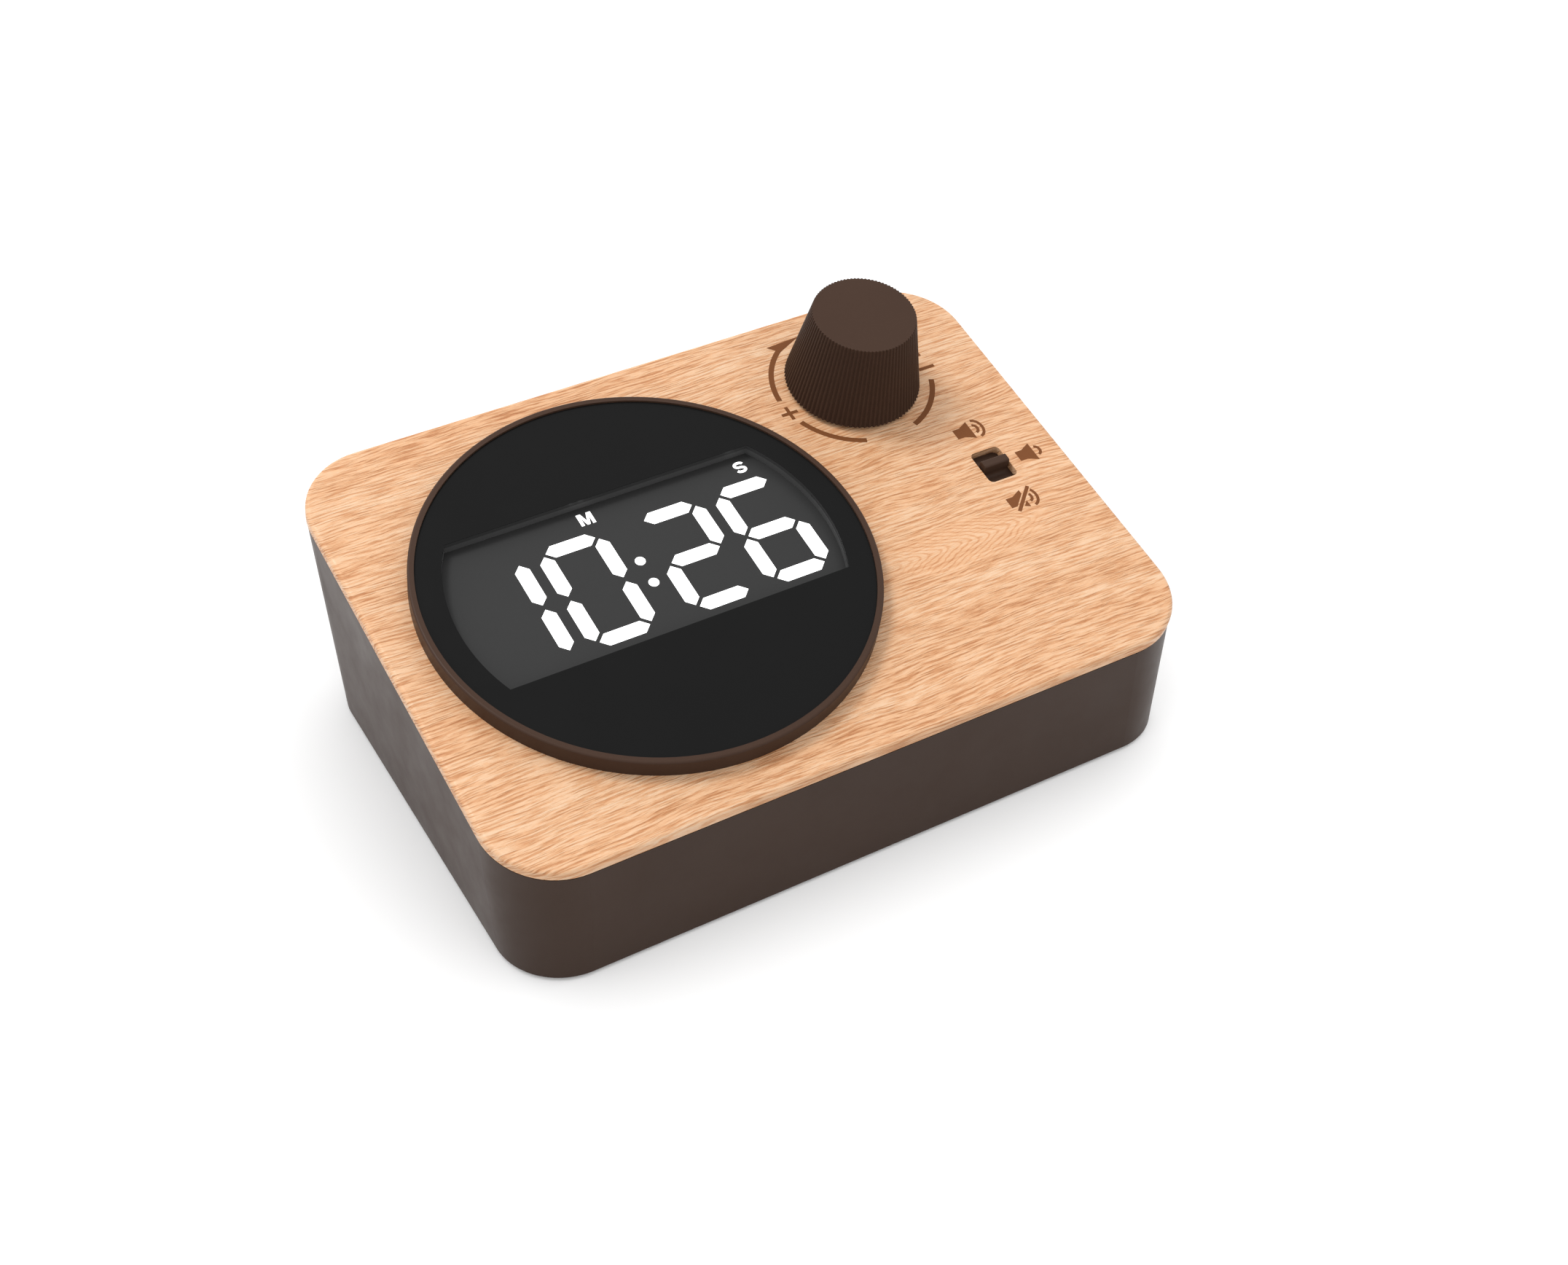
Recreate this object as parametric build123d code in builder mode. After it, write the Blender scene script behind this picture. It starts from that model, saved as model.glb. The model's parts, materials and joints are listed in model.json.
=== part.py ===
from build123d import *
import os
from math import cos, radians, sin

os.makedirs("parts", exist_ok=True)

# Desk countdown clock. Origin: middle of the footprint, on the surface it stands on.
# +X to the right, +Y to the back, +Z up. The top face slopes up to the back.

# ---------------- driving dimensions (mm) ----------------
slope_deg = 11.6            # slope of the top face
panel_x = 120.0             # wood panel, across
panel_y = 86.0              # wood panel, up its slope
panel_t = 1.9
panel_r = 12.0              # plan radius of its corners
panel_edge_r = 0.8          # rounded top edge
foot_gap = 0.6              # case bottom above the table
front_height = 21.7         # case bottom to the panel's lower front edge
shadow_gap = 0.35           # gap between panel and case rim

base_x = 118.04             # case outline at the bottom
base_y = 79.8
base_r = 10.8
front_inset = 0.45          # bottom outline behind the panel's front edge
rim_inset = 0.1             # case rim inside the panel's outline
wall_t = 2.4
floor_t = 2.2
base_edge_r = 0.35

deck_x = 117.0              # plate under the wood panel
deck_y = 81.8
deck_r = 10.4
deck_mid = -0.4
deck_t = 2.2
deck_play = 0.1

ring_x = -17.2              # display centre on the panel
ring_y = 0.1
ring_r = 36.73
ring_rise = 3.1
disc_r = 35.68
disc_top = 2.76
disc_t = 0.8
spacer_r = 34.4
face_top = 0.81
face_t = 1.0
skirt_r = 35.6
skirt_bore = 33.2
skirt_end = -5.4
cut_r = 35.8                # hole in panel and deck

window_r = 31.5             # display window: a circle cut by a level strip
window_low = -12.25
window_high = 17.0

colon_x = -16.78            # digit layout on the display face
digit_mid_y = 1.08
digit_offsets = (-22.33, -8.58, 8.58, 22.33)
bar_step = 9.47             # spacing of the segment centre lines
segment_w = 2.46
segment_l = 8.54
dot_r = 0.85
dot_rise = 2.33
unit_x = (-20.7, 7.08)      # unit letters M and S
unit_y = 14.6

knob_x = 34.6               # knob and rotary encoder
knob_y = 25.1
knob_low = 0.75
knob_top = 15.55
knob_low_r = 11.57
knob_top_r = 8.74
knob_wall = 1.6
knob_ceiling = 12.8         # underside of its top
knob_hub_r = 4.6
knob_hub_low = 3.0
shaft_r = 3.0
shaft_top = 11.0
shaft_low = -9.55
shaft_hole_r = 3.8          # in the panel and the deck
key_depth = 0.6             # flats cut across the shaft
key_y = -shaft_r + key_depth / 2
rotor_r = 4.84
rotor_top = -6.4
rotor_t = 2.9
press_travel = 0.5
press_room = 0.35           # spare length of the lower flat
encoder_width = 12.4
encoder_body_h = 6.4
encoder_neck_r = 3.5
encoder_neck_top = -0.9
encoder_room_r = 4.9
encoder_room_low = 0.8      # above the board
encoder_room_h = 4.0

switch_x = 47.0             # volume slide switch
switch_y = -1.0
slot_x = 5.5
slot_y = 6.88
slot_r = 0.9
slide_top = -1.45           # slider plate's top face, below the panel's face
slide_t = 0.8
slide_plate_x = 8.0
slide_plate_y = 11.8
pocket_x = 8.4              # room for the slider plate, between panel and deck
pocket_y = 16.4
pocket_r = 1.0
stem_w = 3.2                # slider's stem through the deck
stem_slot_x = 3.8
stem_slot_y = 7.8
stem_l = 4.0
lever_x = 4.8
lever_half = 0.8            # half its length along the slide
lever_top = 1.0
lever_edge_r = 0.35
lever_foot_r = 0.7
fork_w = 1.7                # square socket for the switch's actuator
fork_depth = 2.1

post_top = 12.0             # where case posts meet deck bosses
post_r = 4.2
boss_r = 3.0
screw_seat = 8.0            # height of the case screws' head seats
seat_r = 3.0
case_screw_r = 1.2
small_screw_r = 0.9
screw_play = 0.4
board_hole_r = 1.1
board_post_r = 2.8
post_spots = [(-51, -32.5), (51, -32.5), (-51, 30), (51, 30)]
foot_spots = [(-38, -33), (38, -33), (-38, 30.5), (38, 30.5)]
foot_r = 5.0
foot_sunk = 0.8

bay_x = 53.0                # battery bay
bay_y = 33.6
bay_mid_x = -10.0
bay_roof = 13.8
bay_wall = 1.4
door_x = 53.6
door_y = 34.6
door_t = 1.1
door_play = 0.2
cell_r = 5.15
cell_l = 44.2
cell_z = 8.2
cell_pitch = 10.9

nub_r = 1.9
nub_l = 0.9
contact_t = 0.4

board_t = 1.6
display_board_x = 76.0
display_board_y = 51.0
display_board_top = -6.0    # heights below the panel's top face
control_board_top = -11.1

speaker_x = 40.0
speaker_y = -2.0
speaker_r = 14.0
sound_hole_r = 0.9

# ---------------- planes ----------------
slope = radians(slope_deg)
front_run = panel_y / 2 * cos(slope) - panel_t * sin(slope)
panel_mid_y = -panel_t * sin(slope) / 2
panel_mid_z = foot_gap + front_height + panel_y / 2 * sin(slope) + panel_t * cos(slope)
top = Plane(origin=(0, panel_mid_y, panel_mid_z), x_dir=(1, 0, 0), z_dir=(0, -sin(slope), cos(slope)))
base_mid_y = panel_mid_y - front_run + front_inset + base_y / 2
base = Plane((0, base_mid_y, foot_gap))
floor_top = foot_gap + floor_t
rim = -panel_t - shadow_gap
deck_low = -panel_t - deck_t


def panel_point(x, y, height):
    """Point at panel coordinates x, y and a height above the panel's top face."""
    return top.from_local_coords((x, y, height))


def panel_plane(x, y, height):
    """Plane parallel to the panel, centred on the given place."""
    return Plane(panel_point(x, y, height), x_dir=top.x_dir, z_dir=top.z_dir)


def side_plane(x, y, height):
    """Plane square to X: its first axis runs up the panel, its second is the panel's normal."""
    return Plane(panel_point(x, y, height), x_dir=top.y_dir, z_dir=top.x_dir)


def deck_middle_z(y):
    """Height of the deck plate's middle layer at a place across the footprint."""
    return panel_mid_z + (deck_low + deck_t / 2 + sin(slope) * (y - panel_mid_y)) / cos(slope)


def finish(builder, label):
    """Name a finished part and write its STEP file."""
    builder.part.label = label
    export_step(builder.part, f"parts/{label}.step")


# ---------------- digit layout ----------------
# each digit: segments as (dx, dy, turned) about the digit centre
digit_segments = {
    "a": (0, bar_step, False),
    "b": (bar_step / 2, bar_step / 2, True),
    "c": (bar_step / 2, -bar_step / 2, True),
    "d": (0, -bar_step, False),
    "e": (-bar_step / 2, -bar_step / 2, True),
    "f": (-bar_step / 2, bar_step / 2, True),
    "g": (0, 0, False),
}
shown_digits = ("bc", "abcdef", "abged", "acdefg")


def segment_spots(lit):
    """Places and turns of the lit segments, or of the unlit ones."""
    spots = []
    for offset_x, shown in zip(digit_offsets, shown_digits):
        for name, (dx, dy, turned) in digit_segments.items():
            if (name in shown) == lit:
                turn = 90 if turned else 0
                spots.append((colon_x + offset_x + dx, digit_mid_y + dy, turn))
    return spots


def segment_outline(spots):
    """Pointed six-sided segments at the given places, drawn in the open sketch."""
    reach = segment_l / 2
    half = segment_w / 2
    corners = [(-reach, 0), (half - reach, half), (reach - half, half),
               (reach, 0), (reach - half, -half), (half - reach, -half)]
    for x, y, turn in spots:
        with Locations(Location((x, y), turn)):
            Polygon(*corners)


def dots_outline():
    """The two colon dots."""
    with Locations((colon_x, digit_mid_y + dot_rise), (colon_x, digit_mid_y - dot_rise)):
        Circle(dot_r)


def units_outline():
    """Small windows behind the unit letters."""
    with Locations((unit_x[0], unit_y), (unit_x[1], unit_y)):
        Rectangle(3.2, 2.2)


def window_outline(radius, low, high):
    """Circle about the display centre, cut to a level strip."""
    with Locations((ring_x, ring_y)):
        Circle(radius)
    with Locations((ring_x, (low + high) / 2)):
        Rectangle(2 * radius, high - low, mode=Mode.INTERSECT)


# ---------------- wood panel ----------------
with BuildPart() as wood_panel:
    with BuildSketch(top.offset(-panel_t)):
        RectangleRounded(panel_x, panel_y, panel_r)
    extrude(amount=panel_t)
    upper_face = wood_panel.faces().sort_by(Axis(top.origin, top.z_dir))[-1]
    fillet(upper_face.outer_wire().edges(), panel_edge_r)
    with BuildSketch(top):
        with Locations((ring_x, ring_y)):
            Circle(cut_r)
        with Locations((knob_x, knob_y)):
            Circle(shaft_hole_r)
        with Locations((switch_x, switch_y)):
            RectangleRounded(slot_x, slot_y, slot_r)
    extrude(amount=-2 * panel_t, mode=Mode.SUBTRACT)
    with BuildSketch(top.offset(slide_top + 0.05)):
        with Locations((switch_x, switch_y)):
            RectangleRounded(pocket_x, pocket_y, pocket_r)
    extrude(amount=-panel_t, mode=Mode.SUBTRACT)
finish(wood_panel, "wood_panel")

# ---------------- deck plate, under the wood ----------------
display_posts = [(ring_x + dx, ring_y + dy) for dx in (-35, 35) for dy in (-22.5, 22.5)]
board_posts = [(27.0, -9.0), (27.0, 14.0), (52.4, 7.4), (34.6, 34.3)]
with BuildPart() as deck_plate:
    with BuildSketch(top.offset(deck_low)):
        with Locations((0, deck_mid)):
            RectangleRounded(deck_x, deck_y, deck_r)
    extrude(amount=deck_t)
    with BuildSketch(top.offset(display_board_top)):
        with Locations(*display_posts):
            Circle(board_post_r)
    extrude(amount=deck_low - display_board_top)
    with BuildSketch(top.offset(control_board_top)):
        with Locations(*board_posts):
            Circle(board_post_r)
    extrude(amount=deck_low - control_board_top)
    for x, y in post_spots:
        with BuildSketch(Plane((x, y, post_top + 0.05))):
            Circle(boss_r)
        extrude(amount=deck_middle_z(y) - post_top)
    with BuildSketch(top):
        with Locations((ring_x, ring_y)):
            Circle(cut_r)
        with Locations((knob_x, knob_y)):
            Circle(shaft_hole_r)
        with Locations((switch_x, switch_y)):
            Rectangle(stem_slot_x, stem_slot_y)
    extrude(amount=-8, mode=Mode.SUBTRACT)
    with BuildSketch(top.offset(slide_top - 0.9)):
        with Locations((switch_x, switch_y)):
            RectangleRounded(pocket_x, pocket_y, pocket_r)
    extrude(amount=2, mode=Mode.SUBTRACT)
    for x, y in post_spots:
        with BuildSketch(Plane((x, y, post_top))):
            Circle(case_screw_r)
        extrude(amount=7, mode=Mode.SUBTRACT)
    with BuildSketch(top.offset(display_board_top)):
        with Locations(*display_posts):
            Circle(small_screw_r)
    extrude(amount=3, mode=Mode.SUBTRACT)
    with BuildSketch(top.offset(control_board_top)):
        with Locations(*board_posts):
            Circle(small_screw_r)
    extrude(amount=6, mode=Mode.SUBTRACT)
finish(deck_plate, "deck_plate")

# ---------------- case tub ----------------
with BuildPart() as case_tub:
    with BuildSketch(base):
        RectangleRounded(base_x, base_y, base_r)
    with BuildSketch(top.offset(rim)):
        RectangleRounded(panel_x - 2 * rim_inset, panel_y - 2 * rim_inset, panel_r - rim_inset)
    loft(ruled=True)
    underside = case_tub.faces().sort_by(Axis.Z)[0]
    fillet(underside.outer_wire().edges(), base_edge_r)
    with BuildSketch(base.offset(floor_t)):
        RectangleRounded(base_x - 2 * wall_t, base_y - 2 * wall_t, base_r - wall_t)
    with BuildSketch(top.offset(rim + 1)):
        RectangleRounded(panel_x - 2 * wall_t, panel_y - 2 * wall_t, panel_r - wall_t)
    loft(ruled=True, mode=Mode.SUBTRACT)
    with BuildSketch(top.offset(deck_low)):
        with Locations((0, deck_mid)):
            RectangleRounded(deck_x + 2 * deck_play, deck_y + 2 * deck_play, deck_r + deck_play)
    extrude(amount=4, mode=Mode.SUBTRACT)
    # battery bay
    with BuildSketch(Plane((bay_mid_x, 0, floor_top - 0.5))):
        Rectangle(bay_x + 2 * bay_wall, bay_y + 2 * bay_wall)
    extrude(amount=bay_roof + bay_wall - floor_top + 0.5)
    with BuildSketch(Plane((bay_mid_x, 0, floor_top))):
        Rectangle(bay_x, bay_y)
    extrude(amount=bay_roof - floor_top, mode=Mode.SUBTRACT)
    with BuildSketch(Plane((bay_mid_x, 0, 0))):
        Rectangle(bay_x - 2, bay_y - 1.6)
    extrude(amount=floor_top + 1, mode=Mode.SUBTRACT)
    with BuildSketch(Plane((bay_mid_x, 0, 0))):
        Rectangle(door_x + 2 * door_play, door_y + 2 * door_play)
    extrude(amount=foot_gap + door_t + door_play, mode=Mode.SUBTRACT)
    # screw posts
    for x, y in post_spots:
        with BuildSketch(Plane((x, y, floor_top - 0.5))):
            Circle(post_r)
        extrude(amount=post_top - floor_top + 0.5)
        with BuildSketch(Plane((x, y, 0))):
            Circle(seat_r)
        extrude(amount=screw_seat, mode=Mode.SUBTRACT)
        with BuildSketch(Plane((x, y, 0))):
            Circle(case_screw_r + screw_play)
        extrude(amount=post_top + 1, mode=Mode.SUBTRACT)
    # foot recesses, sound holes and speaker ring
    with BuildSketch(Plane.XY):
        with Locations(*foot_spots):
            Circle(foot_r + 0.2)
    extrude(amount=foot_gap + foot_sunk, mode=Mode.SUBTRACT)
    with BuildSketch(Plane((speaker_x, speaker_y, 0))):
        with PolarLocations(4, 6):
            Circle(sound_hole_r)
        with PolarLocations(8, 12):
            Circle(sound_hole_r)
        Circle(sound_hole_r)
    extrude(amount=floor_top + 1, mode=Mode.SUBTRACT)
    with BuildSketch(Plane((speaker_x, speaker_y, floor_top - 0.5))):
        Circle(speaker_r + 1.4)
        Circle(speaker_r + 0.1, mode=Mode.SUBTRACT)
    extrude(amount=3.5)
finish(case_tub, "case_tub")

# ---------------- feet and case screws ----------------
with BuildPart() as foot_pads:
    with BuildSketch(Plane.XY):
        with Locations(*foot_spots):
            Circle(foot_r)
    extrude(amount=foot_gap + foot_sunk)
    fillet(foot_pads.faces().group_by(Axis.Z)[0].edges(), 0.2)
finish(foot_pads, "foot_pads")

# label, head seats, head radius and thickness, shank radius and length
screw_sets = [
    ("case_screws", [Plane((x, y, screw_seat)) for x, y in post_spots],
     2.7, 1.8, case_screw_r, 10),
    ("display_screws", [panel_plane(x, y, display_board_top - board_t) for x, y in display_posts],
     2.0, 1.2, small_screw_r, 4.2),
    ("board_screws", [panel_plane(x, y, control_board_top - board_t) for x, y in board_posts],
     2.0, 1.2, small_screw_r, 6.5),
]
for label, seats, head_r, head_t, shank_r, shank_l in screw_sets:
    with BuildPart() as screws:
        for seat in seats:
            with BuildSketch(seat.offset(-head_t)):
                Circle(head_r)
            extrude(amount=head_t)
            with BuildSketch(seat):
                Circle(shank_r)
            extrude(amount=shank_l)
            with BuildSketch(seat.offset(-head_t)):
                Rectangle(head_r * 1.3, head_r * 0.3)
                Rectangle(head_r * 0.3, head_r * 1.3)
            extrude(amount=head_t * 0.5, mode=Mode.SUBTRACT)
    finish(screws, label)

# ---------------- battery bay contents ----------------
with BuildPart() as battery_door:
    with BuildSketch(Plane((bay_mid_x, 0, foot_gap))):
        RectangleRounded(door_x, door_y, 0.6)
    extrude(amount=door_t)
    with BuildSketch(Plane((bay_mid_x, 0, foot_gap + door_t))):
        with GridLocations(bay_x - 4, 0, 2, 1):
            Rectangle(1.0, 12)
        with GridLocations(14, 0, 3, 1):
            Rectangle(1.0, bay_y - 4)
    extrude(amount=0.6)
    with BuildSketch(Plane((bay_mid_x, -door_y / 2 + 5, foot_gap))):
        with GridLocations(0, 1.6, 1, 4):
            SlotOverall(12, 0.8)
    extrude(amount=0.4, mode=Mode.SUBTRACT)
finish(battery_door, "battery_door")

for number in range(3):
    cell_y = (number - 1) * cell_pitch
    nub_side = 1 if number % 2 == 0 else -1
    nub_at = bay_mid_x + nub_side * cell_l / 2
    with BuildPart() as battery_cell:
        with BuildSketch(Plane.YZ.offset(bay_mid_x - cell_l / 2)):
            with Locations((cell_y, cell_z)):
                Circle(cell_r)
        extrude(amount=cell_l)
        fillet(battery_cell.edges().filter_by(GeomType.CIRCLE), 0.5)
        with BuildSketch(Plane.YZ.offset(nub_at)):
            with Locations((cell_y, cell_z)):
                Circle(nub_r)
        extrude(amount=nub_side * nub_l)
    finish(battery_cell, f"battery_cell_{number + 1}")

with BuildPart() as contact_plates:
    for number in range(3):
        cell_y = (number - 1) * cell_pitch
        side = 1 if number % 2 == 0 else -1
        wall_at = bay_mid_x + side * bay_x / 2
        with BuildSketch(Plane.YZ.offset(wall_at)):
            with Locations((cell_y, cell_z)):
                RectangleRounded(9, 9, 1)
        extrude(amount=-side * contact_t)
        with BuildSketch(Plane.YZ.offset(wall_at)):
            with Locations((cell_y, cell_z)):
                Circle(2.4)
        extrude(amount=-side * (bay_x / 2 - cell_l / 2 - nub_l))
finish(contact_plates, "contact_plates")

with BuildPart() as contact_springs:
    for number in range(3):
        cell_y = (number - 1) * cell_pitch
        side = -1 if number % 2 == 0 else 1
        room = bay_x / 2 - cell_l / 2
        wall_at = bay_mid_x + side * bay_x / 2
        with BuildSketch(Plane.XZ.offset(-cell_y)):
            with BuildLine():
                Polyline(
                    (wall_at - side * 0.2, cell_z - 4),
                    (wall_at - side * 0.2, cell_z + 4.5),
                    (wall_at - side * (room - 0.25), cell_z),
                    (wall_at - side * 1.4, cell_z - 3.2),
                )
            trace(line_width=0.35)
        extrude(amount=3.5, both=True)
finish(contact_springs, "contact_springs")

# ---------------- display ----------------
with BuildPart() as bezel_ring:
    with BuildSketch(Plane(panel_point(ring_x, ring_y, 0), x_dir=top.x_dir, z_dir=-top.y_dir)):
        Polygon(
            (skirt_bore, skirt_end), (skirt_r, skirt_end), (skirt_r, 0), (ring_r, 0),
            (ring_r, ring_rise), (disc_r, ring_rise), (disc_r, disc_top - disc_t),
            (spacer_r, disc_top - disc_t), (spacer_r, face_top - face_t),
            (skirt_bore, face_top - face_t), align=None,
        )
    revolve(axis=Axis(panel_point(ring_x, ring_y, 0), top.z_dir))
    crown = bezel_ring.edges().filter_by(GeomType.CIRCLE).filter_by(lambda e: abs(e.radius - ring_r) < 0.01)
    fillet(crown.sort_by(Axis(top.origin, top.z_dir))[-1], 0.35)
    with BuildSketch(top.offset(skirt_end)):
        with Locations((ring_x, ring_y)):
            with PolarLocations(skirt_r - 0.2, 4, start_angle=45):
                Rectangle(2.0, 8)
    extrude(amount=deck_low - skirt_end - 0.05)
finish(bezel_ring, "bezel_ring")

with BuildPart() as dial_disc:
    with BuildSketch(top.offset(disc_top - disc_t)):
        with Locations((ring_x, ring_y)):
            Circle(disc_r - 0.03)
    extrude(amount=disc_t)
    with BuildSketch(top.offset(disc_top)):
        window_outline(window_r, window_low, window_high)
    extrude(amount=-2 * disc_t, mode=Mode.SUBTRACT)
finish(dial_disc, "dial_disc")

with BuildPart() as display_spacer:
    with BuildSketch(top.offset(face_top)):
        with Locations((ring_x, ring_y)):
            Circle(spacer_r - 0.03)
    extrude(amount=disc_top - disc_t - face_top)
    with BuildSketch(top.offset(disc_top)):
        window_outline(window_r, window_low, window_high)
    extrude(amount=-disc_top + face_top - 1, mode=Mode.SUBTRACT)
finish(display_spacer, "display_spacer")

pipe_low = face_top - face_t - 1.0
with BuildPart() as display_face:
    with BuildSketch(top.offset(face_top - face_t)):
        with Locations((ring_x, ring_y)):
            Circle(spacer_r - 0.03)
    extrude(amount=face_t)
    with BuildSketch(top.offset(face_top)):
        segment_outline(segment_spots(True) + segment_spots(False))
        dots_outline()
    extrude(amount=-2 * face_t, mode=Mode.SUBTRACT)
finish(display_face, "display_face")

with BuildPart() as lit_segments:
    with BuildSketch(top.offset(pipe_low)):
        segment_outline(segment_spots(True))
        dots_outline()
    extrude(amount=face_top - pipe_low)
finish(lit_segments, "lit_segments")

with BuildPart() as unlit_segments:
    with BuildSketch(top.offset(pipe_low)):
        segment_outline(segment_spots(False))
    extrude(amount=face_top - pipe_low)
finish(unlit_segments, "unlit_segments")

with BuildPart() as unit_light_pipes:
    with BuildSketch(top.offset(pipe_low)):
        units_outline()
    extrude(amount=face_top - face_t - pipe_low)
finish(unit_light_pipes, "unit_light_pipes")

with BuildPart() as reflector_block:
    with BuildSketch(top.offset(display_board_top)):
        window_outline(33.0, -13.2, 17.6)
    extrude(amount=face_top - face_t - display_board_top)
    with BuildSketch(top.offset(display_board_top)):
        segment_outline(segment_spots(True) + segment_spots(False))
        dots_outline()
        units_outline()
    extrude(amount=8, mode=Mode.SUBTRACT)
finish(reflector_block, "reflector_block")

with BuildPart() as display_board:
    with BuildSketch(top.offset(display_board_top)):
        with Locations((ring_x, ring_y)):
            RectangleRounded(display_board_x, display_board_y, 3)
        with Locations(*display_posts):
            Circle(board_hole_r, mode=Mode.SUBTRACT)
    extrude(amount=-board_t)
finish(display_board, "display_board")

with BuildPart() as display_leds:
    with BuildSketch(top.offset(display_board_top)):
        for x, y, turn in segment_spots(True) + segment_spots(False):
            with Locations(Location((x, y), turn)):
                Rectangle(1.6, 0.8)
        with Locations((colon_x, digit_mid_y + dot_rise), (colon_x, digit_mid_y - dot_rise)):
            Rectangle(1.0, 0.6)
        with Locations((unit_x[0], unit_y), (unit_x[1], unit_y)):
            Rectangle(1.6, 0.8)
    extrude(amount=0.6)
finish(display_leds, "display_leds")

# ---------------- control board ----------------
with BuildPart() as control_board:
    with BuildSketch(top.offset(control_board_top)):
        with Locations((35.0, 12.0)):
            Rectangle(22.0, 48.0)
        with Locations((39.5, -1.0)):
            Rectangle(31.0, 22.0)
        with Locations(*board_posts):
            Circle(board_hole_r, mode=Mode.SUBTRACT)
    extrude(amount=-board_t)
finish(control_board, "control_board")

with BuildPart() as controller_chip:
    with BuildSketch(top.offset(control_board_top)):
        with Locations((34.5, 4.5)):
            Rectangle(7, 7)
    extrude(amount=1.2)
    with BuildSketch(top.offset(control_board_top)):
        with Locations((34.5, 4.5)):
            with GridLocations(1.0, 8.2, 6, 2):
                Rectangle(0.4, 1.4)
            with GridLocations(8.2, 1.0, 2, 6):
                Rectangle(1.4, 0.4)
    extrude(amount=0.4)
finish(controller_chip, "controller_chip")

with BuildPart() as board_connectors:
    with BuildSketch(top.offset(control_board_top)):
        with Locations((26.5, 1.5)):
            Rectangle(4, 10)
        with Locations((36.5, -9.0)):
            Rectangle(6, 4)
        with Locations((50.0, -9.6)):
            Rectangle(6, 3.8)
    extrude(amount=3.5)
    with BuildSketch(top.offset(display_board_top - board_t)):
        with Locations((14.0, 1.5)):
            Rectangle(4, 10)
    extrude(amount=-2.0)
finish(board_connectors, "board_connectors")

with BuildPart() as display_ribbon:
    with BuildSketch(Plane(panel_point(0, 1.5, 0), x_dir=top.x_dir, z_dir=-top.y_dir)):
        with BuildLine():
            Polyline((16.0, -8.6), (18.5, -8.6), (22.0, -9.4), (24.5, -9.4))
        trace(line_width=0.3)
    extrude(amount=4, both=True)
finish(display_ribbon, "display_ribbon")

# insulated wires in pairs: start points, how the pair sits apart, and the connector it enters
lead_r = 0.5
lead_gap = 0.9
bay_side = bay_mid_x + bay_x / 2 + bay_wall
lead_sets = [
    ("battery_leads", [(bay_side, -6, 12.5), (25, -6, 12.5)], top.z_dir, 36.5, -11.0),
    ("speaker_leads", [(speaker_x, speaker_y - 13.4, floor_top + 1.4), (speaker_x, speaker_y - 13.4, 9)],
     top.x_dir, 50.0, -11.5),
]
for label, starts, apart, plug_x, plug_y in lead_sets:
    with BuildPart() as leads:
        for side in (-1, 1):
            corners = [Vector(point) for point in starts]
            corners.append(panel_point(plug_x, -19.0, -9.5))
            corners.append(panel_point(plug_x, plug_y, -9.5))
            with BuildLine() as route:
                FilletPolyline(*[corner + apart * side * lead_gap for corner in corners], radius=2.5)
            with BuildSketch(Plane(route.line @ 0, z_dir=route.line % 0)):
                Circle(lead_r)
            sweep(path=route.line)
    finish(leads, label)

# ---------------- rotary encoder and knob ----------------
with BuildPart() as encoder_housing:
    with BuildSketch(panel_plane(knob_x, knob_y, control_board_top)):
        Rectangle(encoder_width, encoder_width)
    extrude(amount=encoder_body_h)
    with BuildSketch(panel_plane(knob_x, knob_y, encoder_neck_top)):
        Circle(encoder_neck_r)
    extrude(amount=control_board_top + encoder_body_h - encoder_neck_top)
    with BuildSketch(panel_plane(knob_x, knob_y, control_board_top + encoder_room_low)):
        Circle(encoder_room_r)
    extrude(amount=encoder_room_h, mode=Mode.SUBTRACT)
    with BuildSketch(panel_plane(knob_x, knob_y, 0)):
        Circle(shaft_r + 0.08)
    extrude(amount=control_board_top + encoder_room_h, mode=Mode.SUBTRACT)
finish(encoder_housing, "encoder_housing")

with BuildPart() as encoder_dome:
    with BuildSketch(panel_plane(knob_x, knob_y, control_board_top + encoder_room_low)):
        Circle(2.6)
    extrude(amount=0.15)
finish(encoder_dome, "encoder_dome")

with BuildPart() as encoder_rotor:
    with BuildSketch(panel_plane(knob_x, knob_y, rotor_top)):
        Circle(rotor_r)
        Circle(shaft_r + 0.06, mode=Mode.SUBTRACT)
        with Locations((0, key_y)):
            Rectangle(4.4, key_depth - 0.12)
    extrude(amount=-rotor_t)
finish(encoder_rotor, "encoder_rotor")

lower_flat = rotor_top - shaft_low + press_travel + press_room
with BuildPart() as encoder_shaft:
    with BuildSketch(panel_plane(knob_x, knob_y, shaft_low)):
        Circle(shaft_r)
    extrude(amount=shaft_top - shaft_low)
    with BuildSketch(panel_plane(knob_x, knob_y, shaft_low)):
        with Locations((0, key_y)):
            Rectangle(3 * shaft_r, key_depth)
    extrude(amount=lower_flat, mode=Mode.SUBTRACT)
    with BuildSketch(panel_plane(knob_x, knob_y, knob_hub_low)):
        with Locations((0, key_y)):
            Rectangle(3 * shaft_r, key_depth)
    extrude(amount=shaft_top - knob_hub_low + 1, mode=Mode.SUBTRACT)
finish(encoder_shaft, "encoder_shaft")

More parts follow.
